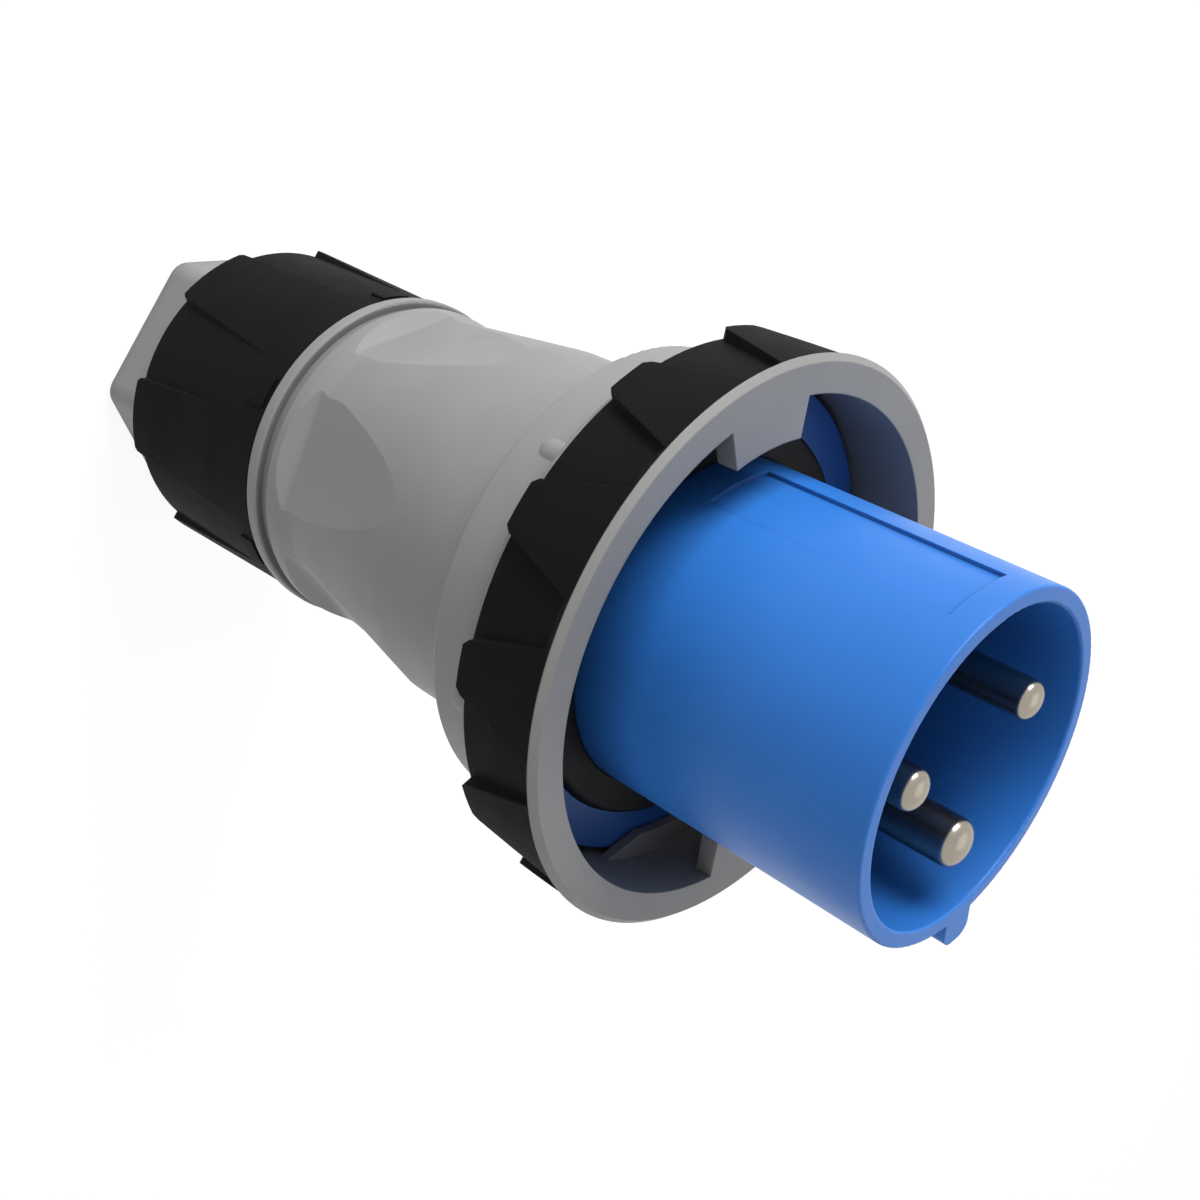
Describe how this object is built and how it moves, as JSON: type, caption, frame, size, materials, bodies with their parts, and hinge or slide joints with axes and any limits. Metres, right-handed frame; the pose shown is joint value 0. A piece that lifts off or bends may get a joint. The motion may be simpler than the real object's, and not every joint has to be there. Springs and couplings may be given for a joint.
{
  "type": "industrial pin and sleeve plug",
  "caption": "Watertight industrial pin and sleeve plug with round shroud, key rib, two pins and earth, bayonet locking ring and compression gland nut, without its cord.",
  "frame": {"origin": "centre of the end face of the gland nut's hexagon, on which the plug stands", "axes": "+Z along the plug's axis from the cable entry to the mouth of the shroud; key rib and earth pin towards -Y; +X across the two other pins"},
  "size_m": [0.1206, 0.1206, 0.2324],
  "materials": {
    "blue_plastic": "satin moulded nylon, mid blue",
    "grey_plastic": "satin moulded nylon, mid grey",
    "black_grip": "matt soft grip, near black",
    "seal_rubber": "matt sealing rubber",
    "grommet_rubber": "matt sealing rubber, two rings",
    "pin_metal": "turned brass, nickel plated",
    "screw_steel": "zinc plated steel",
    "block_plastic": "matt glass-filled nylon, dark",
    "cage_plastic": "natural light grey nylon"
  },
  "bodies": {
    "plug_body": {"contact_carrier": "blue_plastic", "contact_insert": "blue_plastic", "face_gasket": "seal_rubber", "earth_pin": "pin_metal", "line_pin": "pin_metal", "neutral_pin": "pin_metal", "pin_seals": "seal_rubber", "terminal_block": "block_plastic", "terminal_screws": "screw_steel", "block_screws": "screw_steel", "flange_screws": "screw_steel", "housing_seal": "seal_rubber", "housing": "grey_plastic", "collar_seal": "seal_rubber", "grommet_outer": "grommet_rubber", "grommet_inner": "grommet_rubber"},
    "bayonet": {"locking_ring": "grey_plastic", "ring_grip": "black_grip"},
    "gland_slider": {"thrust_washer": "cage_plastic", "clamping_cage": "cage_plastic"},
    "gland": {"gland_nut": "grey_plastic", "nut_grip": "black_grip"}
  },
  "joints": [
    {"name": "ring_turn", "type": "hinge", "parent": "plug_body", "child": "bayonet", "pos_m": [0, 0, 0.1699], "axis": [0, 0, 1], "range_deg": [0, 60]},
    {"name": "gland_travel", "type": "slide", "parent": "plug_body", "child": "gland_slider", "axis": [0, 0, 1], "range_m": [-0.0046, 0]},
    {"name": "gland_turn", "type": "hinge", "parent": "gland_slider", "child": "gland", "pos_m": [0, 0, 0.03215], "axis": [0, 0, 1], "range_deg": [-540, 0]}
  ],
  "couplings": [
    {"joint": "gland_travel", "follows": "gland_turn", "m_per_rad": 0.00047746}
  ]
}
